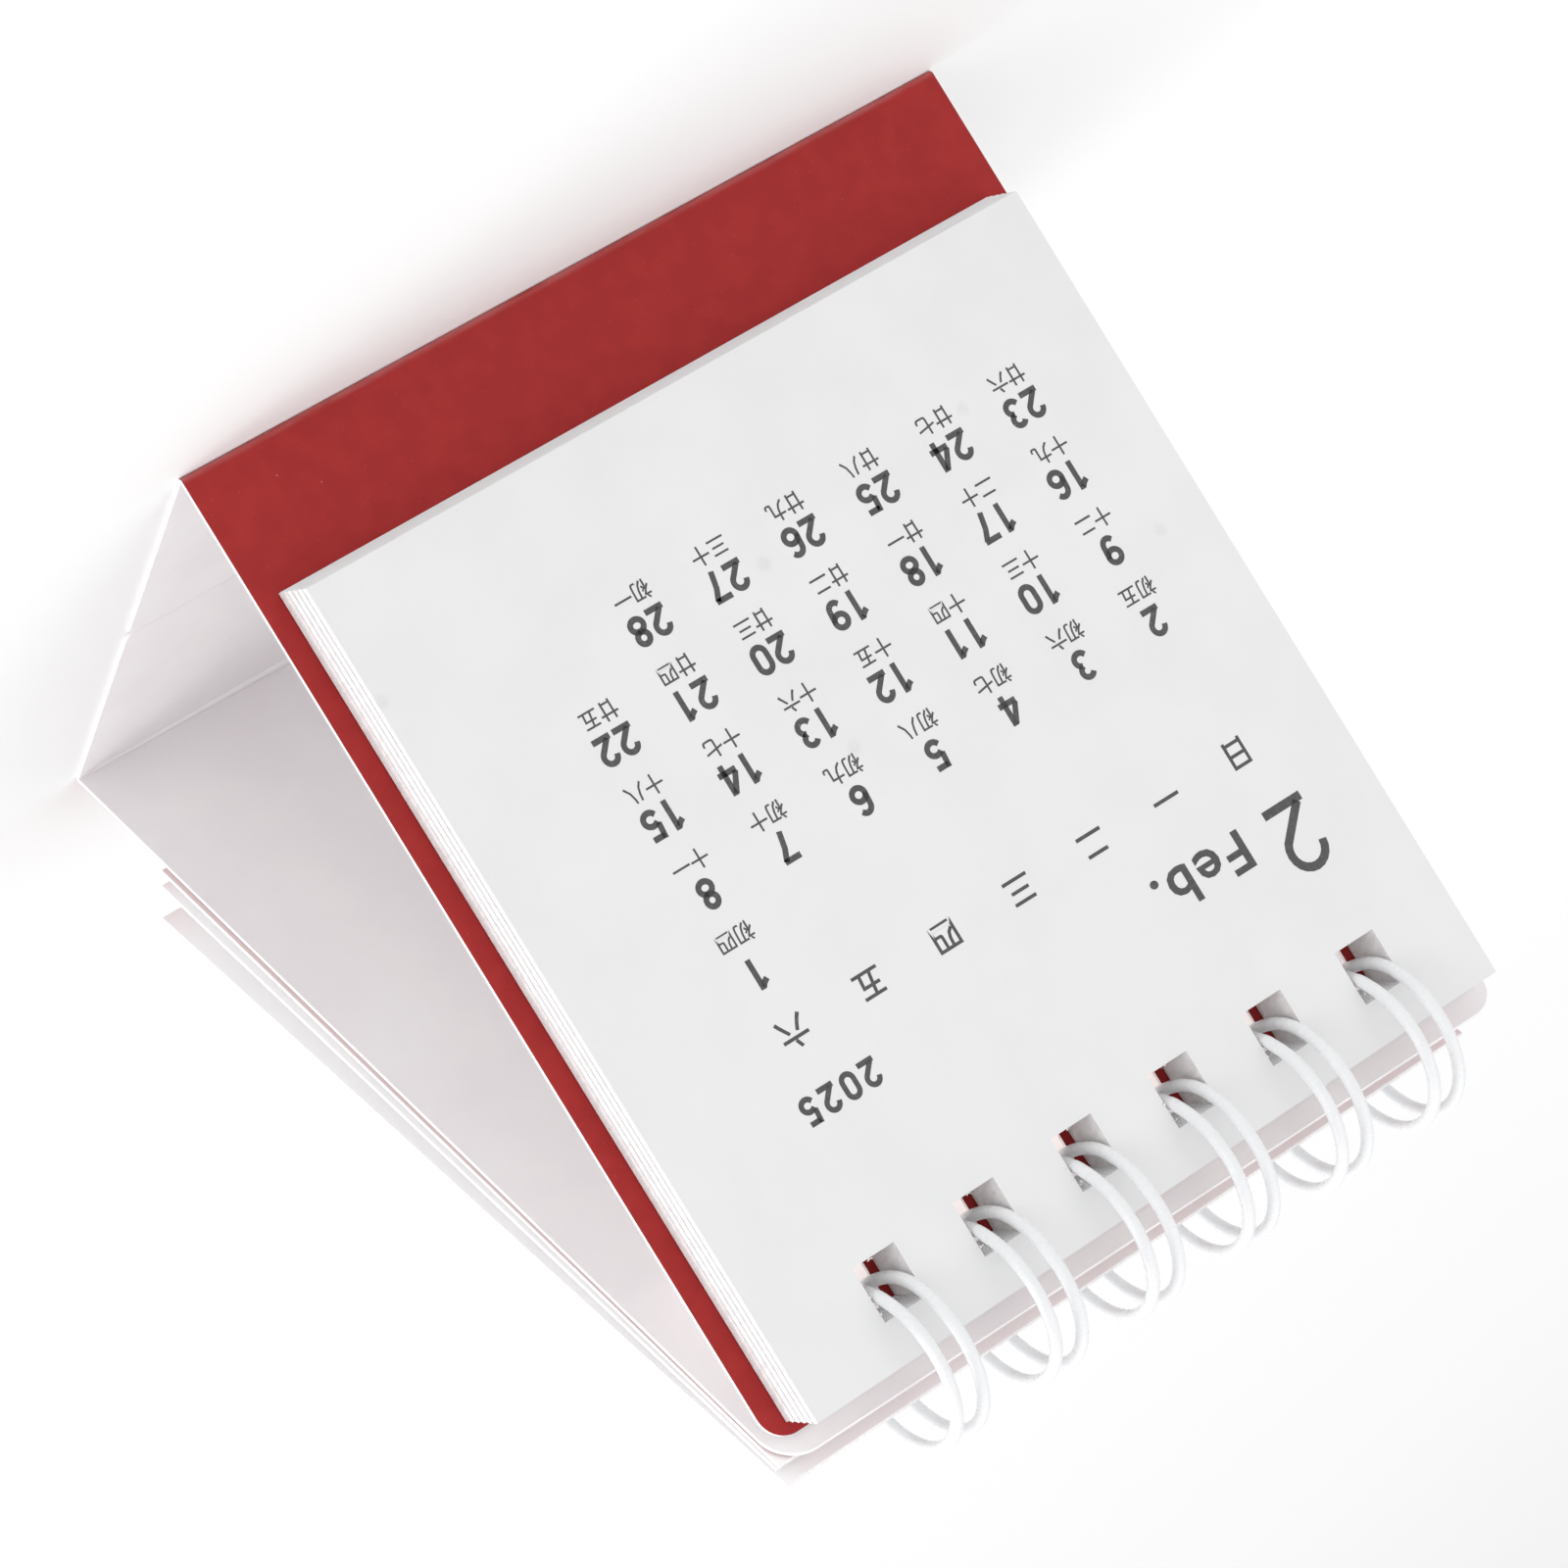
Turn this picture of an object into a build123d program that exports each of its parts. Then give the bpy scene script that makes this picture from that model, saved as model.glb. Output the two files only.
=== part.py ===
from build123d import *
import os
from math import atan2, cos, degrees, radians, sin, tan

# A flip desk calendar: a tent-shaped stand folded from one web of card, bound
# to fourteen leaves by a twin-loop wire. Millimetres, +Z up. The origin is the
# middle of the underside of the base; the February leaf faces -Y, and X runs
# along the binding.

# Stand: one card web with folds at the front, at the rear and across the base
card_t = 0.45
board_w = 95.0
base_depth = 58.8
front_angle = 74.58
back_angle = 74.20
front_len = 106.3
back_len = 109.2
back_top_rise = 0.8
front_corner_r = 3.0
back_corner_r = 4.0
rigid_base_len = 19.5

# Punched holes, a standard 12.7 mm pitch for a twin-loop binding
hole_count = 6
hole_pitch = 12.7
hole_w = 5.2
hole_h = 5.9
hole_middle_x = -0.8
front_hole_w = 4.0
front_hole_middle_x = -0.4
front_hole_s = 98.4
back_hole_s = 99.4

# Leaves: eleven in front, three already turned to the back
leaf_t = 0.48
front_leaf_w = 90.0
front_leaf_h = 90.9
front_leaf_hole_drop = 7.3
first_gap = 0.35
leaf_step = 0.50
lowest_leaf_top = 105.0
leaf_top_step = 0.13
leaf_sway = 0.06
front_leaves = ["december", "november", "october", "september", "august", "july",
                "june", "may", "april", "march", "february"]
back_leaf_w = 90.0
back_leaf_middle_x = 2.5
back_leaf_foot = 14.2
back_leaf_hole_drop = 7.0
# name, height of the top edge up the board, distance from the board at the top and at the foot
back_leaves = [("cover", 107.9, 0.55, 1.3), ("year", 107.6, 1.35, 3.6), ("january", 109.2, 2.25, 8.4)]

# Twin-loop wire
wire_d = 1.30
loop_r = 8.35
loop_centre_s = 106.67
loop_centre_out = 0.76
twin_gap = 3.40
tip_gap = 1.60
root_bend_r = 1.0
root_angle = 6.9
# one side of a hairpin's end: angle on the loop, distance from the loop's middle
hairpin_side = [(60.0, twin_gap / 2), (45.0, 1.65), (30.0, 1.33), (18.0, 0.92), (12.0, tip_gap / 2)]


def slope_point(side, s, out):
    """Point (y, z) at s up a board from its fold and out from its outer face."""
    angle = radians(front_angle if side < 0 else back_angle)
    y = side * (base_depth / 2 - s * cos(angle) + out * sin(angle))
    return y, s * sin(angle) + out * cos(angle)


def board_plane(side, out=0.0):
    """Plane on a board's outer face, or out from it: its y runs up the board."""
    angle = radians(front_angle if side < 0 else back_angle)
    return Plane(
        origin=(0, *slope_point(side, 0, out)),
        x_dir=(-side, 0, 0),
        z_dir=(0, side * sin(angle), cos(angle)),
    )


def hole_places(middle_x, y):
    """Centres of the row of holes on a board's or leaf's own plane."""
    first = middle_x - hole_pitch * (hole_count - 1) / 2
    return [(first + n * hole_pitch, y) for n in range(hole_count)]


def fold_pivot(side):
    """Point (y, z) on the inside of the card at the front or rear fold."""
    half = radians(front_angle if side < 0 else back_angle) / 2
    return side * (base_depth / 2 - card_t / tan(half)), card_t


def fold_start(side):
    """Where the flat of a board begins, measured up from the outer corner."""
    return card_t / tan(radians(front_angle if side < 0 else back_angle) / 2)


def export(part, name):
    part.label = name
    export_step(part, f"parts/{name}.step")


os.makedirs("parts", exist_ok=True)

# Front and back boards, each with the rounded outside of its own fold
for name, side, length, rise, corner_r, hole_s, width, middle_x in [
    ("front_board", -1, front_len, 0, front_corner_r, front_hole_s, front_hole_w, front_hole_middle_x),
    ("back_board", 1, back_len, back_top_rise, back_corner_r, back_hole_s, hole_w, hole_middle_x),
]:
    pivot_y, pivot_z = fold_pivot(side)
    foot_y, foot_z = slope_point(side, fold_start(side), 0)
    half_angle = radians((front_angle if side < 0 else back_angle) / 2)
    round_y = pivot_y + side * card_t * cos(half_angle)
    round_z = pivot_z - card_t * sin(half_angle)
    with BuildPart() as board:
        with BuildSketch(board_plane(side)):
            with BuildLine():
                Polyline(
                    (-board_w / 2, fold_start(side)),
                    (board_w / 2, fold_start(side)),
                    (board_w / 2, length + rise / 2),
                    (-board_w / 2, length - rise / 2),
                    close=True,
                )
            outline = make_face()
            fillet(outline.vertices().sort_by(Axis.Y)[-2:], corner_r)
            with Locations(*hole_places(-side * middle_x, hole_s)):
                Rectangle(width, hole_h, mode=Mode.SUBTRACT)
        extrude(amount=-card_t)
        with BuildSketch(Plane.YZ.offset(-board_w / 2)):
            with BuildLine():
                Line((pivot_y, pivot_z), (foot_y, foot_z))
                ThreePointArc((foot_y, foot_z), (round_y, round_z), (pivot_y, 0))
                Line((pivot_y, 0), (pivot_y, pivot_z))
            make_face()
        extrude(amount=board_w)
    export(board.part, name)

# Base: a flat strip behind each fold and, between them, the band that folds up
front_y = fold_pivot(-1)[0]
back_y = fold_pivot(1)[0]
for name, start, end in [
    ("base_front_strip", front_y, front_y + rigid_base_len),
    ("base_crease_band", front_y + rigid_base_len, back_y - rigid_base_len),
    ("base_rear_strip", back_y - rigid_base_len, back_y),
]:
    with BuildPart() as strip:
        with BuildSketch():
            with Locations((0, (start + end) / 2)):
                Rectangle(board_w, end - start)
        extrude(amount=card_t)
    export(strip.part, name)

# Front leaves, lowest first
for n, name in enumerate(front_leaves):
    top = lowest_leaf_top + n * leaf_top_step
    sway = leaf_sway * (-1) ** n
    out = first_gap + n * leaf_step - leaf_t / 2
    with BuildPart() as leaf:
        with BuildSketch(board_plane(-1, out)):
            with Locations((sway, top - front_leaf_h / 2)):
                Rectangle(front_leaf_w, front_leaf_h)
            with Locations(*hole_places(hole_middle_x, top - front_leaf_hole_drop)):
                Rectangle(hole_w, hole_h, mode=Mode.SUBTRACT)
        extrude(amount=leaf_t)
    export(leaf.part, f"{name}_leaf")

# Leaves at the back, fanned out towards their feet
for name, top, top_out, foot_out in back_leaves:
    leaf_h = top - back_leaf_foot
    top_y, top_z = slope_point(1, top, top_out - leaf_t / 2)
    fan = degrees(atan2(foot_out - top_out, leaf_h))
    tilt = radians(back_angle - fan)
    leaf_plane = Plane(
        origin=(back_leaf_middle_x, top_y, top_z),
        x_dir=(-1, 0, 0),
        z_dir=(0, sin(tilt), cos(tilt)),
    )
    with BuildPart() as leaf:
        with BuildSketch(leaf_plane):
            with Locations((0, -leaf_h / 2)):
                Rectangle(back_leaf_w, leaf_h)
            with Locations(*hole_places(back_leaf_middle_x - hole_middle_x, -back_leaf_hole_drop)):
                Rectangle(hole_w, hole_h, mode=Mode.SUBTRACT)
        extrude(amount=leaf_t)
    export(leaf.part, f"{name}_leaf")

# Twin-loop wire: one length of wire bent into six hairpins, closed into loops
loop_y, loop_z = slope_point(-1, loop_centre_s, loop_centre_out)


def loop_point(x, angle):
    """Point on a loop, its angle measured from the bottom towards the front."""
    return x, loop_y - loop_r * sin(radians(angle)), loop_z - loop_r * cos(radians(angle))


def loop_tangent(angle):
    """Direction of the wire down the front of a loop, towards its tip."""
    return 0, cos(radians(angle)), -sin(radians(angle))


loop_middles = [x for x, _ in hole_places(hole_middle_x, 0)]
narrowing_angle = hairpin_side[0][0]
tip_angle = hairpin_side[-1][0]
root_tangent = Vector(0, cos(radians(root_angle)), sin(radians(root_angle)))
with BuildPart() as wire:
    for middle in loop_middles:
        for side in (-1, 1):
            x = middle + side * twin_gap / 2
            start = loop_point(x, -root_angle)
            with BuildSketch(Plane(origin=start, z_dir=root_tangent)):
                Circle(wire_d / 2)
            revolve(
                axis=Axis((x, loop_y, loop_z), (1, 0, 0)),
                revolution_arc=360 - root_angle - narrowing_angle,
            )
        # the narrowed end of the hairpin, with its bend at the tip
        left = [(middle - half_gap, angle) for angle, half_gap in hairpin_side]
        right = [(middle + half_gap, angle) for angle, half_gap in reversed(hairpin_side)]
        bend = []
        for turn in (45, 90, 135):
            further = degrees(tip_gap / 2 * sin(radians(turn)) / loop_r)
            bend.append((middle - tip_gap / 2 * cos(radians(turn)), tip_angle - further))
        with BuildLine() as hairpin:
            Spline(
                *[loop_point(x, angle) for x, angle in left + bend + right],
                tangents=[
                    loop_tangent(narrowing_angle),
                    tuple(-v for v in loop_tangent(narrowing_angle)),
                ],
            )
        with BuildSketch(Plane(origin=hairpin.line @ 0, z_dir=hairpin.line % 0)):
            Circle(wire_d / 2)
        sweep(path=hairpin.line)
    # the straight runs between hairpins, each with a bend into its two roots
    for left_middle, right_middle in zip(loop_middles, loop_middles[1:]):
        roots = [left_middle + twin_gap / 2, right_middle - twin_gap / 2]
        ends = [Vector(*loop_point(x, -root_angle)) for x in roots]
        back = root_tangent * -root_bend_r
        inward = [Vector(root_bend_r, 0, 0), Vector(-root_bend_r, 0, 0)]
        with BuildLine() as run:
            TangentArc(ends[0], ends[0] + back + inward[0], tangent=back)
            Line(ends[0] + back + inward[0], ends[1] + back + inward[1])
            TangentArc(ends[1] + back + inward[1], ends[1], tangent=(1, 0, 0))
        with BuildSketch(Plane(origin=ends[0], z_dir=back)):
            Circle(wire_d / 2)
        sweep(path=run.line)
export(wire.part, "twin_loop_wire")
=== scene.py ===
"""The looks of a flip desk calendar: a folded red card stand, month leaves and a twin-loop wire."""

import datetime
import random
from calendar import monthrange
from math import ceil, cos, pi, radians, sin

import bpy
from mathutils import Matrix, Vector


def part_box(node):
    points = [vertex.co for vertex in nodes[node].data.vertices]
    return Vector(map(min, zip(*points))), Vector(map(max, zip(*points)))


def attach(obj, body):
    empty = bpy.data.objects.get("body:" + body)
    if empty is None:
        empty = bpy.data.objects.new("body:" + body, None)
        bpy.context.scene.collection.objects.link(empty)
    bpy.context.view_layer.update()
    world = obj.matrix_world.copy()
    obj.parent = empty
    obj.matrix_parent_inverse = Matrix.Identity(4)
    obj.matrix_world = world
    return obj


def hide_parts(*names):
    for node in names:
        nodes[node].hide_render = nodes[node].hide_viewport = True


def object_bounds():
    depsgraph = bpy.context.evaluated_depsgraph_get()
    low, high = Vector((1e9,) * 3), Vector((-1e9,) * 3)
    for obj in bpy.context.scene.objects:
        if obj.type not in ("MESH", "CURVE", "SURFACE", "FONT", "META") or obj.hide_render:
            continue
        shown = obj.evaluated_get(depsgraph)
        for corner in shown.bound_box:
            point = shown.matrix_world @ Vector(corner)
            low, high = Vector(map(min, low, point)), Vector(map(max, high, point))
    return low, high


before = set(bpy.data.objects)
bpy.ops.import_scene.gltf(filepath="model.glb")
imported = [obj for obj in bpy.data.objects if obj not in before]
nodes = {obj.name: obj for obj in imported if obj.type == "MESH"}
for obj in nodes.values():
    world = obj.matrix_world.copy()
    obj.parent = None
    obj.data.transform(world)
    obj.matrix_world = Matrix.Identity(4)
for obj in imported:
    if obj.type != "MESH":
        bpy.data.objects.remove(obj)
cad_low, cad_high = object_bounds()

MM = 0.001
X_AXIS = Vector((1, 0, 0))
Z_AXIS = Vector((0, 0, 1))

# The slopes of the two boards, and the card's thickness
FRONT_ANGLE = radians(74.58)
BACK_ANGLE = radians(74.20)
CARD_T = 0.45 * MM
FRONT_OUT = Vector((0, -sin(FRONT_ANGLE), cos(FRONT_ANGLE)))
BACK_OUT = Vector((0, sin(BACK_ANGLE), cos(BACK_ANGLE)))

# Months as they hang: February is on top, and January has been turned to the back
MONTHS = ["january", "february", "march", "april", "may", "june", "july",
          "august", "september", "october", "november", "december"]
YEAR = 2025


# ---------------------------------------------------------------- camera, floor and lights

def aim_camera():
    """A long lens to the front leaf's right and a little above it, rolled over on its side."""
    place = Vector((0.3273, -0.5680, 0.2132))
    look = Vector((-0.48301, 0.84057, -0.24525)).normalized()
    roll = radians(140.85)
    right = look.cross(Z_AXIS).normalized()
    up = right.cross(look)
    x = right * cos(roll) + up * sin(roll)
    y = -right * sin(roll) + up * cos(roll)
    data = bpy.data.cameras.new("camera")
    data.lens = 157.2
    data.sensor_width = 36
    data.clip_start = 0.01
    data.clip_end = 50
    camera = bpy.data.objects.new("camera", data)
    turn = Matrix((x, y, -look)).transposed()
    camera.matrix_world = Matrix.Translation(place) @ turn.to_4x4()
    bpy.context.scene.collection.objects.link(camera)
    bpy.context.scene.camera = camera


def area_light(name, place, target, size, power, tint=(1, 1, 1)):
    """A round, soft light of size metres and power watts that faces target."""
    data = bpy.data.lights.new(name, "AREA")
    data.shape = "DISK"
    data.size = size
    data.energy = power
    data.color = tint
    light = bpy.data.objects.new(name, data)
    light.location = place
    light.rotation_mode = "QUATERNION"
    light.rotation_quaternion = (Vector(target) - Vector(place)).to_track_quat("-Z", "Y")
    bpy.context.scene.collection.objects.link(light)
    return light


def light_studio():
    """Soft lights around the part, and a faint warm one inside the stand, behind the holes."""
    middle = (cad_low + cad_high) / 2
    area_light("key_light", (-0.55, -0.85, 1.45), middle, 0.7, 1.8)
    area_light("top_light", (0.1, 0.25, 1.9), middle, 2.6, 7.0)
    area_light("side_light", (1.15, -0.6, 0.4), middle, 0.7, 1.6)
    area_light("inside_light", (1.2, 0.62, 0.32), middle, 0.6, 6.0)
    hole_light = area_light("hole_light", (0, 0, 0.08), (0, 0, 0.1), 0.075, 0.0035, (1, 0.94, 0.87))
    hole_light.data.shape = "RECTANGLE"
    hole_light.data.size_y = 0.008
    hole_light.visible_camera = False
    world = bpy.data.worlds.new("studio")
    world.use_nodes = True
    background = world.node_tree.nodes["Background"]
    background.inputs["Color"].default_value = (1.0, 1.0, 1.0, 1)
    background.inputs["Strength"].default_value = 0.90
    bpy.context.scene.world = world
    bpy.context.scene.view_settings.view_transform = "Standard"


# ---------------------------------------------------------------- materials

class Nodes:
    """A material's node tree, with short calls for the nodes that the materials share."""

    def __init__(self, name):
        self.material = bpy.data.materials.new(name)
        self.material.use_nodes = True
        self.tree = self.material.node_tree
        self.shader = self.tree.nodes["Principled BSDF"]
        self.place = self.tree.nodes.new("ShaderNodeTexCoord").outputs["Object"]

    def link(self, start, end):
        self.tree.links.new(start, end)

    def noise(self, size, detail=3.0, stretch=(1, 1, 1)):
        """Noise whose features are about size metres across, stretched along an axis."""
        mapping = self.tree.nodes.new("ShaderNodeMapping")
        mapping.inputs["Scale"].default_value = [1 / (size * s) for s in stretch]
        self.link(self.place, mapping.inputs["Vector"])
        noise = self.tree.nodes.new("ShaderNodeTexNoise")
        noise.inputs["Scale"].default_value = 1.0
        noise.inputs["Detail"].default_value = detail
        self.link(mapping.outputs["Vector"], noise.inputs["Vector"])
        return noise.outputs["Fac"]

    def specks(self, spacing, radius, share):
        """Small round specks: one in each cell of spacing metres, in a share of the cells."""
        cells = self.tree.nodes.new("ShaderNodeTexVoronoi")
        cells.inputs["Scale"].default_value = 1 / spacing
        self.link(self.place, cells.inputs["Vector"])
        split = self.tree.nodes.new("ShaderNodeSeparateColor")
        self.link(cells.outputs["Color"], split.inputs["Color"])
        chosen = self.math("LESS_THAN", split.outputs["Red"], share)
        near = self.ramp(cells.outputs["Distance"], radius / spacing * 0.4, radius / spacing, True)
        return self.math("MULTIPLY", chosen, near)

    def math(self, operation, first, second):
        """An operation on two values, each a number or a socket."""
        node = self.tree.nodes.new("ShaderNodeMath")
        node.operation = operation
        for socket, value in zip(node.inputs, (first, second)):
            if isinstance(value, (int, float)):
                socket.default_value = value
            else:
                self.link(value, socket)
        return node.outputs[0]

    def ramp(self, value, low, high, falling=False):
        """0 below low and 1 above high, or the other way round."""
        node = self.tree.nodes.new("ShaderNodeMapRange")
        node.interpolation_type = "SMOOTHSTEP"
        node.inputs["From Min"].default_value = low
        node.inputs["From Max"].default_value = high
        node.inputs["To Min"].default_value = 1.0 if falling else 0.0
        node.inputs["To Max"].default_value = 0.0 if falling else 1.0
        self.link(value, node.inputs["Value"])
        return node.outputs["Result"]

    def mix(self, share, first, second):
        """The first colour, changed to the second by a 0 to 1 share."""
        node = self.tree.nodes.new("ShaderNodeMix")
        node.data_type = "RGBA"
        for key, value in (("Factor", share), ("A", first), ("B", second)):
            socket = node.inputs[key]
            if isinstance(value, (int, float)):
                socket.default_value = value
            elif isinstance(value, tuple):
                socket.default_value = (*value, 1)
            else:
                self.link(value, socket)
        return node.outputs["Result"]

    def coordinate(self, axis):
        split = self.tree.nodes.new("ShaderNodeSeparateXYZ")
        self.link(self.place, split.inputs["Vector"])
        return split.outputs[axis]

    def colour(self, colour):
        self.link(colour, self.shader.inputs["Base Color"])

    def rough(self, value, low, high):
        """Roughness that follows a 0 to 1 value between two limits."""
        node = self.tree.nodes.new("ShaderNodeMapRange")
        node.inputs["To Min"].default_value = low
        node.inputs["To Max"].default_value = high
        self.link(value, node.inputs["Value"])
        self.link(node.outputs["Result"], self.shader.inputs["Roughness"])

    def bump(self, height, distance, strength):
        """Relief from a 0 to 1 height, distance metres deep at full strength."""
        node = self.tree.nodes.new("ShaderNodeBump")
        node.inputs["Distance"].default_value = distance
        node.inputs["Strength"].default_value = strength
        self.link(height, node.inputs["Height"])
        self.link(node.outputs["Normal"], self.shader.inputs["Normal"])


def red_print():
    """The printed outside of the card: even red, faintly mottled, with pale specks of dirt and painted
    glints, and a pale band at the folds that is wear and a painted highlight.
    """
    n = Nodes("red_print")
    mottle = n.ramp(n.noise(2.6 * MM, 5), 0.35, 0.7)
    red = n.mix(mottle, (0.345, 0.025, 0.025), (0.378, 0.030, 0.029))
    grain = n.ramp(n.noise(0.22 * MM, 2), 0.58, 0.8)
    red = n.mix(n.math("MULTIPLY", grain, 0.18), red, (0.46, 0.07, 0.065))
    # Pale specks: dirt, and painted glints where the card's fibres catch the light.
    for spacing, radius, share, strength in ((0.75, 0.055, 0.4, 0.3), (3.4, 0.11, 0.4, 0.6)):
        speck_mask = n.specks(spacing * MM, radius * MM, share)
        red = n.mix(n.math("MULTIPLY", speck_mask, strength), red, (0.80, 0.45, 0.40))
    # Painted highlight with wear: a pale pink band low along the folds, for light caught on the rounded
    # fold and for worn card.
    low = n.ramp(n.coordinate("Z"), 0.1 * MM, 1.0 * MM, True)
    wear_and_highlight = n.math("MULTIPLY", low, n.ramp(n.noise(0.9 * MM, 4, (6, 1, 1)), 0.1, 0.75))
    red = n.mix(n.math("MULTIPLY", wear_and_highlight, 0.5), red, (0.60, 0.27, 0.27))
    n.colour(red)
    n.shader.inputs["Specular IOR Level"].default_value = 0.12
    n.rough(mottle, 0.46, 0.58)
    n.bump(n.noise(0.35 * MM, 4), 0.012 * MM, 0.5)
    return n.material


def white_card():
    """The unprinted inside of the card and its cut edges: white board with a faint warm cast."""
    n = Nodes("white_card")
    clouds = n.ramp(n.noise(11 * MM, 3), 0.3, 0.75)
    white = n.mix(clouds, (0.870, 0.836, 0.850), (0.900, 0.876, 0.880))
    fibre = n.ramp(n.noise(0.28 * MM, 4, (2.4, 1, 1)), 0.55, 0.8)
    white = n.mix(n.math("MULTIPLY", fibre, 0.3), white, (0.835, 0.800, 0.808))
    # Dark specks of dirt on the white card.
    speck_mask = n.specks(7 * MM, 0.16 * MM, 0.2)
    white = n.mix(n.math("MULTIPLY", speck_mask, 0.35), white, (0.45, 0.42, 0.42))
    n.colour(white)
    n.rough(fibre, 0.55, 0.7)
    n.bump(n.noise(0.3 * MM, 4, (2.0, 1, 1)), 0.015 * MM, 0.5)
    return n.material


def leaf_paper(name, painted_glow):
    """Smooth uncoated paper, with smudges and specks, and a painted pink light that it emits, standing in
    for light coming through it.
    """
    n = Nodes(name)
    # Painted light: the paper emits a faint pink light in place of light coming through it.
    n.shader.inputs["Emission Color"].default_value = (1.0, 0.92, 0.93, 1)
    n.shader.inputs["Emission Strength"].default_value = painted_glow
    clouds = n.ramp(n.noise(9 * MM, 3), 0.3, 0.75)
    white = n.mix(clouds, (0.775, 0.776, 0.780), (0.800, 0.801, 0.804))
    smudge = n.math("MULTIPLY", n.specks(14 * MM, 1.1 * MM, 0.3), n.noise(0.6 * MM, 4))
    white = n.mix(n.math("MULTIPLY", smudge, 0.30), white, (0.45, 0.45, 0.46))
    toner = n.specks(6.5 * MM, 0.13 * MM, 0.28)
    white = n.mix(n.math("MULTIPLY", toner, 0.6), white, (0.25, 0.25, 0.25))
    n.colour(white)
    fibre = n.noise(0.24 * MM, 4, (1, 1.6, 1.6))
    n.rough(fibre, 0.5, 0.68)
    n.bump(fibre, 0.010 * MM, 0.45)
    return n.material


def leaf_edge():
    """The sheared edges of the leaves, where the punch and the guillotine leave rough fibres."""
    n = Nodes("leaf_edge")
    streak = n.ramp(n.noise(0.30 * MM, 5, (1, 6, 2)), 0.3, 0.62)
    n.colour(n.mix(streak, (0.80, 0.76, 0.765), (0.90, 0.885, 0.885)))
    n.rough(streak, 0.7, 0.85)
    n.bump(n.noise(0.12 * MM, 4), 0.04 * MM, 0.8)
    return n.material


def nylon():
    """The wire's nylon coating: milky white, softly glossy, uneven, with odd specks of dirt."""
    n = Nodes("white_nylon")
    clouds = n.noise(2.2 * MM, 3)
    white = n.mix(clouds, (0.790, 0.800, 0.812), (0.830, 0.836, 0.846))
    dirt = n.specks(3.2 * MM, 0.10 * MM, 0.22)
    white = n.mix(n.math("MULTIPLY", dirt, 0.65), white, (0.22, 0.21, 0.21))
    n.colour(white)
    n.rough(n.noise(0.9 * MM, 3), 0.2, 0.36)
    n.bump(n.noise(1.6 * MM, 1), 0.012 * MM, 0.4)
    n.shader.inputs["Subsurface Weight"].default_value = 0.15
    n.shader.inputs["Subsurface Radius"].default_value = (0.8, 0.8, 0.8)
    n.shader.inputs["Subsurface Scale"].default_value = 0.5 * MM
    n.shader.inputs["Coat Weight"].default_value = 0.25
    n.shader.inputs["Coat Roughness"].default_value = 0.15
    return n.material


def printed_ink():
    """Dark grey toner, broken here and there where the paper shows through."""
    n = Nodes("grey_ink")
    patchy = n.ramp(n.noise(0.5 * MM, 4), 0.4, 0.8)
    ink = n.mix(patchy, (0.066, 0.066, 0.067), (0.098, 0.098, 0.098))
    gaps = n.ramp(n.noise(0.16 * MM, 2), 0.68, 0.76)
    ink = n.mix(n.math("MULTIPLY", gaps, 0.55), ink, (0.5, 0.5, 0.5))
    n.colour(ink)
    n.rough(patchy, 0.45, 0.6)
    n.bump(n.noise(0.2 * MM, 3), 0.006 * MM, 0.5)
    return n.material


def pale_floor():
    """The plain pale floor, hardly uneven."""
    n = Nodes("pale_floor")
    n.colour(n.mix(n.noise(0.4, 2), (0.90, 0.90, 0.90), (0.92, 0.92, 0.92)))
    n.shader.inputs["Roughness"].default_value = 0.9
    n.shader.inputs["Specular IOR Level"].default_value = 0.2
    return n.material


RED = red_print()
WHITE = white_card()
PAPER = leaf_paper("leaf_paper", 0.0)
# Paper that emits painted light, for the turned leaves.
PAINTED_LIGHT_PAPER = leaf_paper("painted_light_paper", 0.2)
EDGE = leaf_edge()
NYLON = nylon()
INK = printed_ink()


def lay_floor():
    """A square of floor, far wider than the camera sees."""
    half = 6.0
    corners = [(-half, -half, 0), (half, -half, 0), (half, half, 0), (-half, half, 0)]
    floor = mesh_object("floor", corners, [(0, 1, 2, 3)], pale_floor())


# ---------------------------------------------------------------- mesh helpers

def mesh_object(name, points, faces, material):
    """A new object at the origin from points in metres."""
    mesh = bpy.data.meshes.new(name)
    mesh.from_pydata([tuple(p) for p in points], [], faces)
    mesh.update()
    mesh.materials.append(material)
    obj = bpy.data.objects.new(name, mesh)
    bpy.context.scene.collection.objects.link(obj)
    return obj


def paint(obj, materials, choose):
    """Gives obj the materials, each face the one whose index choose returns."""
    obj.data.materials.clear()
    for material in materials:
        obj.data.materials.append(material)
    for face in obj.data.polygons:
        face.material_index = int(choose(face))


def grid_solid(name, top, bottom, material):
    """A closed solid between two grids of points, each a list of equal rows."""
    rows, columns = len(top), len(top[0])
    points = [p for grid in (top, bottom) for row in grid for p in row]
    under = rows * columns
    faces = []
    for i in range(rows - 1):
        for j in range(columns - 1):
            a = i * columns + j
            square = (a, a + 1, a + columns + 1, a + columns)
            faces.append(square)
            faces.append(tuple(under + v for v in reversed(square)))
    rim = list(range(columns))
    rim += [i * columns + columns - 1 for i in range(1, rows)]
    rim += [(rows - 1) * columns + j for j in range(columns - 2, -1, -1)]
    rim += [i * columns for i in range(rows - 2, 0, -1)]
    for a, b in zip(rim, rim[1:] + rim[:1]):
        faces.append((b, a, under + a, under + b))
    return mesh_object(name, points, faces, material)


# ---------------------------------------------------------------- the card stand

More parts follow.
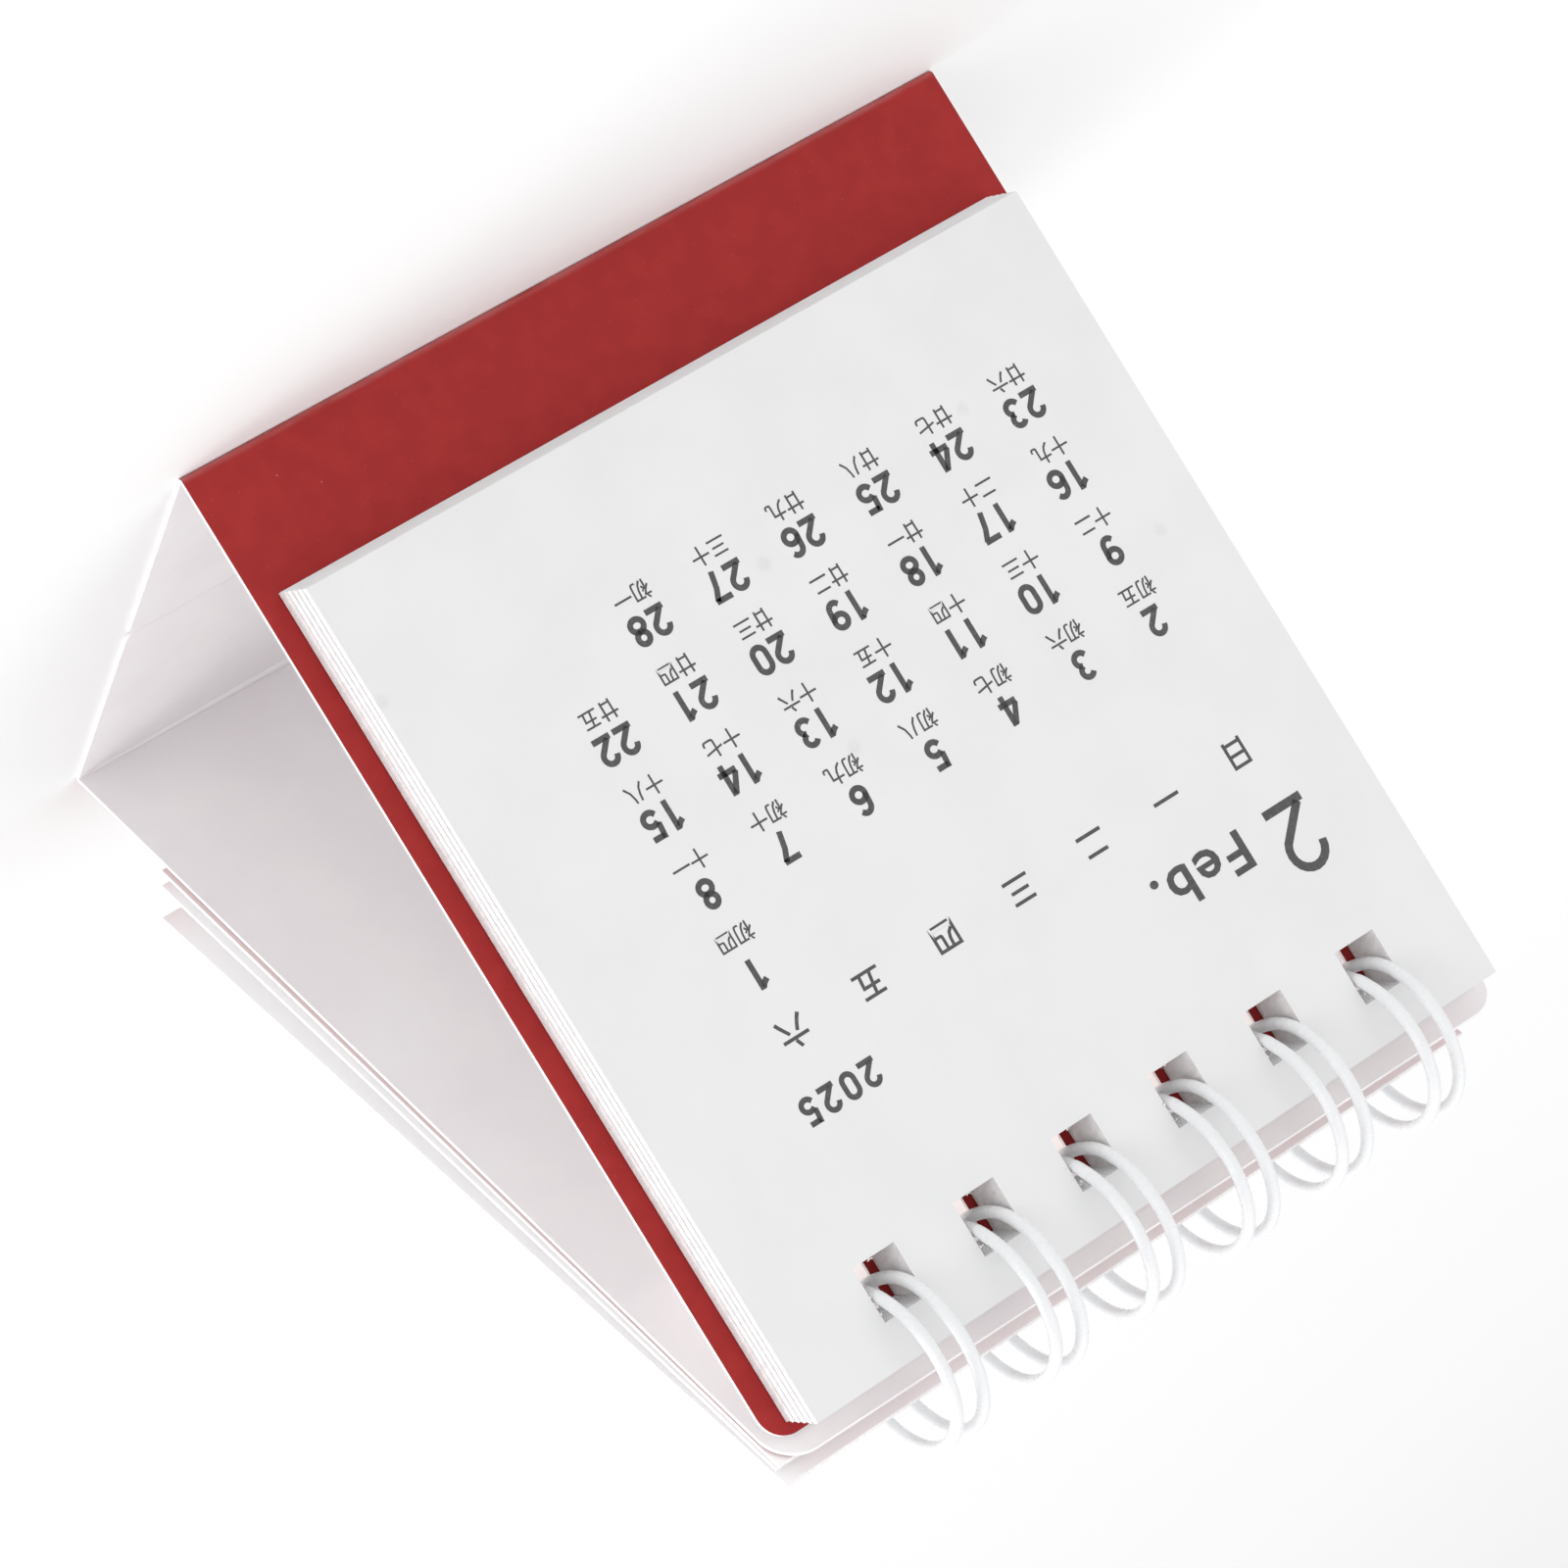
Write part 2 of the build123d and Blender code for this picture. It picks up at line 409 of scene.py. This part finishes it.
def dress_card():
    """Red outside, white inside and on the cut edges."""
    for name, out in (("front_board", FRONT_OUT), ("back_board", BACK_OUT)):
        def is_red(face, out=out):
            in_fold = face.center.z < CARD_T and face.normal.z < -0.3
            return face.normal.dot(out) > 0.3 or in_fold
        paint(nodes[name], [WHITE, RED], is_red)
    for name in ("base_front_strip", "base_rear_strip"):
        paint(nodes[name], [WHITE, RED], lambda face: face.normal.z < -0.5)


def fold_crease_band():
    """The middle of the base as two halves that meet in a worn crease, each on its own half."""
    low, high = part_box("base_crease_band")
    crease_y = (low.y + high.y) / 2
    groove_w = 0.9 * MM
    groove_d = 0.17 * MM
    under_d = 0.05 * MM
    slit = 0.02 * MM
    notch = 0.7 * MM
    dice = random.Random(3)
    columns = 96
    ripple = [dice.uniform(-0.05, 0.05) * MM for _ in range(columns + 1)]
    for name, body, side, edge_y in (
        ("base_front_half_crease", "base_front", -1, low.y),
        ("base_rear_half_crease", "base_rear", 1, high.y),
    ):
        length = abs(edge_y - crease_y)
        distances = [length, length * 0.5, groove_w * 2, groove_w, groove_w * 0.6, groove_w * 0.25, 0.0]
        top, bottom = [], []
        for d in distances:
            dip = max(0.0, 1 - d / groove_w) ** 1.6
            top_row, bottom_row = [], []
            for k in range(columns + 1):
                x = low.x + (high.x - low.x) * k / columns
                shift = ripple[k] * dip
                if k == columns:
                    x -= notch * dip
                y = crease_y + side * (slit + d) + shift
                top_row.append((x, y, high.z - groove_d * dip))
                bottom_row.append((x, y, under_d * dip))
            top.append(top_row if side > 0 else top_row[::-1])
            bottom.append(bottom_row if side > 0 else bottom_row[::-1])
        half = grid_solid(name, top[::-1], bottom[::-1], WHITE)
        paint(half, [WHITE, RED], lambda face: face.normal.z < -0.5)
        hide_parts("base_crease_band")
        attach(half, body)


def press_rear_bead():
    """The bead that scoring leaves along the inside of the rear fold, worn flat at one end."""
    low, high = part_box("base_rear_strip")
    full = 0.95 * MM
    worn_length = 30 * MM
    worn_least = 0.12
    steps = 60
    around = 10
    dice = random.Random(5)
    along = [low.x + (high.x - low.x) * k / steps for k in range(steps + 1)]
    points, faces = [], []
    for x in along:
        whole = min(1.0, (high.x - x) / worn_length) ** 0.6
        radius = full * (worn_least + (1 - worn_least) * whole) * dice.uniform(0.94, 1.04)
        for j in range(around):
            turn = 2 * pi * j / around
            y = high.y + radius * (sin(turn) * 0.9 - 0.55)
            points.append((x, y, CARD_T + radius * cos(turn) * 0.45))
    for i in range(len(along) - 1):
        for j in range(around):
            a = i * around + j
            b = i * around + (j + 1) % around
            faces.append((a, b, b + around, a + around))
    faces.append(tuple(range(around))[::-1])
    faces.append(tuple(range(len(points) - around, len(points))))
    bead = mesh_object("rear_fold_bead", points, faces, WHITE)
    for face in bead.data.polygons:
        face.use_smooth = True
    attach(bead, "base_rear")


# ---------------------------------------------------------------- leaves and wire

def dress_leaves():
    """Paper with rough edges. The turned leaves' sides towards the stand emit painted light, standing in
    for light shining through them.
    """
    for name in MONTHS + ["cover", "year"]:
        turned = name not in MONTHS[1:]
        out = BACK_OUT if turned else FRONT_OUT

        def paper_or_edge(face, out=out, turned=turned):
            facing = face.normal.dot(out)
            if abs(facing) < 0.9:
                return 1
            # the turned leaves' faces towards the stand take the paper that emits painted light
            return 2 if turned and facing < 0 else 0
        paint(nodes[f"{name}_leaf"], [PAPER, EDGE, PAINTED_LIGHT_PAPER], paper_or_edge)


def dress_wire():
    """The whole wire in its nylon coating."""
    wire = nodes["twin_loop_wire"]
    wire.data.materials.clear()
    wire.data.materials.append(NYLON)


# ---------------------------------------------------------------- print

# The weight of a stroke and the width of a digit, in units of its height
STROKE = 0.19
DIGIT_W = 0.65
THIN_STROKE = 0.12


def arc(x, y, rx, ry, start, end):
    """Points along an elliptical arc, its angles in degrees."""
    steps = max(2, ceil(abs(end - start) / 18))
    turns = [radians(start + (end - start) * k / steps) for k in range(steps + 1)]
    return [(x + rx * cos(t), y + ry * sin(t)) for t in turns]


def digit_strokes(weight):
    """The centre lines of the ten digits, one unit high, each a list of strokes."""
    half = weight / 2
    mid, round_x = DIGIT_W / 2, DIGIT_W / 2 - half
    top, base = 1 - half, half
    upper, lower = top - round_x, base + round_x
    six = [
        arc(mid, base + 0.215, round_x, 0.215, 0, 360),
        arc(mid + 0.015, upper, round_x - 0.015, round_x, 35, 180) + [(base, base + 0.2)],
    ]
    return {
        "0": [
            arc(mid, upper, round_x, round_x, 0, 180)
            + arc(mid, lower, round_x, round_x, 180, 360)
            + [(mid + round_x, upper)],
        ],
        "1": [[(0.40, 0), (0.40, 1)], [(0.13, 0.74), (0.27, 0.82), (0.37, 0.93)]],
        "2": [
            arc(mid, upper, round_x, round_x, 178, -35) + [(half + 0.03, base + 0.04)],
            [(0, base), (DIGIT_W, base)],
        ],
        "3": [
            arc(mid - 0.02, 0.71, 0.205, top - 0.71, 155, -75),
            arc(mid - 0.01, 0.305, 0.235, 0.305 - base, 80, -158),
        ],
        "4": [[(0.44, 0), (0.44, 1)], [(0.40, 0.95), (0.05, 0.33)], [(0.0, 0.28), (DIGIT_W + 0.01, 0.28)]],
        "5": [
            [(0.56, top), (0.13, top)],
            [(0.165, 1), (0.12, 0.50)],
            arc(mid - 0.01, 0.31, 0.235, 0.31 - base, 142, -158),
        ],
        "6": six,
        "7": [[(0.02, top), (DIGIT_W - 0.03, top)], [(0.56, top), (0.38, 0.52), (0.26, 0)]],
        "8": [arc(mid, 0.71, 0.20, top - 0.71, 0, 360), arc(mid, 0.295, round_x, 0.295 - base, 0, 360)],
        "9": [[(DIGIT_W - x, 1 - y) for x, y in stroke] for stroke in six],
    }


def ribbon(line, half):
    """The left and right points of a stroke along a line, mitred at the bends."""
    closed = (Vector(line[0]) - Vector(line[-1])).length < 1e-6
    sides = []
    count = len(line)
    for k, point in enumerate(line):
        here = Vector(point)
        before = Vector(line[k - 1]) if k else (Vector(line[-2]) if closed else None)
        after = Vector(line[k + 1]) if k < count - 1 else (Vector(line[1]) if closed else None)
        into = (here - before).normalized() if before else (after - here).normalized()
        onward = (after - here).normalized() if after else into
        along = (into + onward).normalized()
        reach = half / max(0.5, along.dot(into))
        across = Vector((-along.y, along.x)) * reach
        sides.append((here + across, here - across))
    return sides


class Sheet:
    """Collects flat shapes of ink on one side of a leaf, as thin closed solids."""

    def __init__(self, origin, right, up):
        self.origin = origin
        self.right = right
        self.up = up
        self.normal = right.cross(up)
        self.points = []
        self.faces = []
        self.sunk = -0.01 * MM
        self.proud = 0.02 * MM

    def point(self, x, y, height):
        """Adds a point at x, y and height above the leaf, and returns its number."""
        self.points.append(self.origin + self.right * x + self.up * y + self.normal * height)
        return len(self.points) - 1

    def stroke(self, line, x, y, height, weight):
        """A ribbon with its ends closed, height tall for a unit-high digit at x, y."""
        rings = []
        for left, right in ribbon(line, weight / 2):
            corners = (
                (left, self.proud), (right, self.proud), (right, self.sunk), (left, self.sunk),
            )
            rings.append([self.point(x + p.x * height, y + p.y * height, level) for p, level in corners])
        for a, b in zip(rings, rings[1:]):
            for j in range(4):
                k = (j + 1) % 4
                self.faces.append((a[j], a[k], b[k], b[j]))
        self.faces.append(tuple(rings[0][::-1]))
        self.faces.append(tuple(rings[-1]))

    def number(self, text, x, y, height, advance, weight=STROKE):
        """Digits centred on x, standing on y, advance apart in units of their height."""
        width = (advance * (len(text) - 1) + DIGIT_W) * height
        for k, digit in enumerate(text):
            for line in digit_strokes(weight)[digit]:
                self.stroke(line, x - width / 2 + k * advance * height, y, height, weight)

    def glyphs(self, text, x, y, size, embolden, stretch=1.0, spacing=1.0, centred=True):
        """Characters of the built-in font, as solids."""
        points, faces = glyph_mesh(text, embolden, spacing)
        xs = [p[0] for p in points]
        shift = -(min(xs) + max(xs)) / 2 if centred else -min(xs)
        first = len(self.points)
        for px, py, pz in points:
            level = self.proud if pz > 0 else self.sunk
            self.point(x + (px + shift) * size * stretch, y + py * size, level)
        self.faces += [tuple(first + v for v in face) for face in faces]

    def finish(self, name, body):
        """Makes the piece, which rides with body."""
        obj = mesh_object(name, self.points, self.faces, INK)
        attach(obj, body)


glyph_cache = {}


def glyph_mesh(text, embolden, spacing):
    """Points and faces of text one unit in size, with its top above 0 and its bottom below."""
    key = (text, embolden, spacing)
    if key not in glyph_cache:
        curve = bpy.data.curves.new("glyph", "FONT")
        curve.body = text
        curve.resolution_u = 3
        curve.offset = embolden
        curve.space_character = spacing
        curve.extrude = 0.01
        obj = bpy.data.objects.new("glyph", curve)
        bpy.context.scene.collection.objects.link(obj)
        whole = obj.evaluated_get(bpy.context.evaluated_depsgraph_get())
        mesh = bpy.data.meshes.new_from_object(whole)
        points = [tuple(v.co) for v in mesh.vertices]
        faces = [tuple(f.vertices) for f in mesh.polygons]
        glyph_cache[key] = (points, faces)
        bpy.data.objects.remove(obj)
        bpy.data.curves.remove(curve)
        bpy.data.meshes.remove(mesh)
    return glyph_cache[key]


NUMERALS = "一二三四五六七八九十"
WEEKDAYS = "日一二三四五六"

# The lunar day of each month's first day, and the day on which the next lunar month begins
LUNAR_FIRST = [2, 4, 2, 4, 4, 6, 7, 8, 10, 10, 12, 12]
LUNAR_NEW = [29, 28, 29, 28, 27, 25, 25, 23, 22, 21, 20, 20]

# Layout of a leaf, measured from its middle and down from its top edge
COLUMN_FIRST = -32.5 * MM
COLUMN_STEP = 9.70 * MM
ROW_FIRST = 40.6 * MM
ROW_STEP = 8.20 * MM
FIRST_ROW_LIFT = 0.6 * MM
DATE_H = 3.2 * MM
LUNAR_SIZE = 2.2 * MM
LUNAR_DROP = 2.6 * MM
WEEKDAY_SIZE = 3.4 * MM
WEEKDAY_BASE = 33.2 * MM
HEADING_BASE = 25.7 * MM
HEADING_X = -33.75 * MM
HEADING_H = 7.7 * MM
NAME_X = -27.8 * MM
NAME_SIZE = 5.8 * MM
YEAR_X = 24.75 * MM
YEAR_BASE = 26.25 * MM
YEAR_H = 2.92 * MM


def lunar_label(month, day):
    """The day of the lunar month, as Chinese numerals."""
    new = LUNAR_NEW[month]
    lunar = day - new + 1 if day >= new else LUNAR_FIRST[month] + day - 1
    if lunar <= 10:
        return "初" + NUMERALS[lunar - 1]
    if lunar < 20:
        return "十" + NUMERALS[lunar - 11]
    if lunar == 20:
        return "二十"
    if lunar < 30:
        return "廿" + NUMERALS[lunar - 21]
    return "三十"


def leaf_sheet(name, printed_side):
    """A Sheet on the printed side of a leaf, from the middle of its top edge."""
    mesh = nodes[name].data
    flat = max((f for f in mesh.polygons if f.normal.dot(printed_side) > 0.9), key=lambda f: f.area)
    printed_side = flat.normal.copy()
    up = printed_side.cross(X_AXIS)
    points = [v.co for v in mesh.vertices]
    top = max(p.dot(up) for p in points)
    face = max(p.dot(printed_side) for p in points)
    middle = (max(p.x for p in points) + min(p.x for p in points)) / 2
    return Sheet(X_AXIS * middle + up * top + printed_side * face, X_AXIS, up)


def print_month(index):
    """The heading, the year, the weekdays, and each date above its lunar day."""
    name = MONTHS[index]
    turned = index == 0
    sheet = leaf_sheet(f"{name}_leaf", -BACK_OUT if turned else FRONT_OUT)
    sheet.number(str(index + 1), HEADING_X, -HEADING_BASE, HEADING_H, 0.72, THIN_STROKE)
    # the outline of a capital M tears when it is made bolder
    weight = 0.0 if name.startswith("m") else 0.015
    sheet.glyphs(name[:3].title() + ".", NAME_X, -HEADING_BASE, NAME_SIZE, weight, 1.15, 1.13, False)
    sheet.number(str(YEAR), YEAR_X, -YEAR_BASE, YEAR_H, 0.87)
    for k, weekday in enumerate(WEEKDAYS):
        sheet.glyphs(weekday, COLUMN_FIRST + k * COLUMN_STEP, -WEEKDAY_BASE, WEEKDAY_SIZE, 0.013)
    start = (datetime.date(YEAR, index + 1, 1).weekday() + 1) % 7
    days = monthrange(YEAR, index + 1)[1]
    # six rows of dates stand closer together than five
    step = ROW_STEP if start + days <= 35 else ROW_STEP * 0.86
    for day in range(1, days + 1):
        row, column = divmod(start + day - 1, 7)
        x = COLUMN_FIRST + column * COLUMN_STEP
        y = -ROW_FIRST - row * step
        lift = 0 if row else FIRST_ROW_LIFT
        sheet.number(str(day), x, y + lift, DATE_H, 0.77)
        sheet.glyphs(lunar_label(index, day), x, y - LUNAR_DROP, LUNAR_SIZE, 0.008)
    sheet.finish(f"{name}_print", name)


def print_year():
    """The turned year leaf carries just its number, large, on the side towards the stand."""
    sheet = leaf_sheet("year_leaf", -BACK_OUT)
    sheet.number(str(YEAR), 0, -52 * MM, 14 * MM, 0.86)
    sheet.finish("year_print", "year")


# ---------------------------------------------------------------- torn fibres

# The corners of a tuft's faces
TUFT_FACES = [(0, 2, 1), (0, 1, 4, 3), (1, 2, 4), (0, 3, 2), (2, 3, 4)]


def fray(sheet, name, body, spots, dice):
    """Tufts of torn fibre that stand up from a leaf's edge at spots (x, y, count, size)."""
    points, faces = [], []
    for x, y, count, size in spots:
        for _ in range(count):
            base = sheet.origin + sheet.right * (x + dice.uniform(-1, 1) * size)
            base = base + sheet.up * (y + dice.uniform(-1, 1) * size * 0.5)
            lift = sheet.normal * dice.uniform(0.15, 0.5) * size
            lean = sheet.right * dice.uniform(-0.6, 0.6) * size
            lean = lean + sheet.up * dice.uniform(-0.6, 0.6) * size
            wide = sheet.right * dice.uniform(0.15, 0.4) * size
            deep = sheet.up * dice.uniform(0.08, 0.2) * size
            first = len(points)
            points += [base - wide, base + wide, base + deep, base + lift + lean]
            points.append(base + lift * 0.7 + lean * 1.1 + wide * 0.6)
            faces += [tuple(first + v for v in face) for face in TUFT_FACES]
    obj = mesh_object(name, points, faces, EDGE)
    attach(obj, body)


def add_frays():
    """Fibres at the corners of February's holes, more of them to the right, and at March's foot."""
    sheet = leaf_sheet("february_leaf", FRONT_OUT)
    dice = random.Random(11)
    hole_w, hole_h, pitch, drop = 5.2 * MM, 5.9 * MM, 12.7 * MM, 7.3 * MM
    holes_x = -0.8 * MM
    spots = []
    for n in range(6):
        middle = holes_x + (n - 2.5) * pitch - sheet.origin.x
        spots.append((middle + hole_w * 0.1, -drop - hole_h * 0.5, 3 + n, 0.3 * MM))
        for along in (0.02, 0.18, 0.34):
            spots.append((middle + hole_w * 0.5 - 0.15 * MM, -drop + hole_h * along, 2 + n // 2, 0.4 * MM))
    fray(sheet, "february_hole_fibres", "february", spots, dice)
    sheet = leaf_sheet("march_leaf", FRONT_OUT)
    foot = -90.9 * MM
    spots = []
    for _ in range(46):
        x = dice.uniform(-44.5, 44.5) * MM
        spots.append((x, foot, 1, dice.uniform(0.12, 0.3) * MM))
    fray(sheet, "march_foot_fibres", "march", spots, dice)


# ---------------------------------------------------------------- the whole

aim_camera()
light_studio()
lay_floor()
dress_card()
fold_crease_band()
press_rear_bead()
dress_leaves()
dress_wire()
for month_index in range(12):
    print_month(month_index)
print_year()
add_frays()
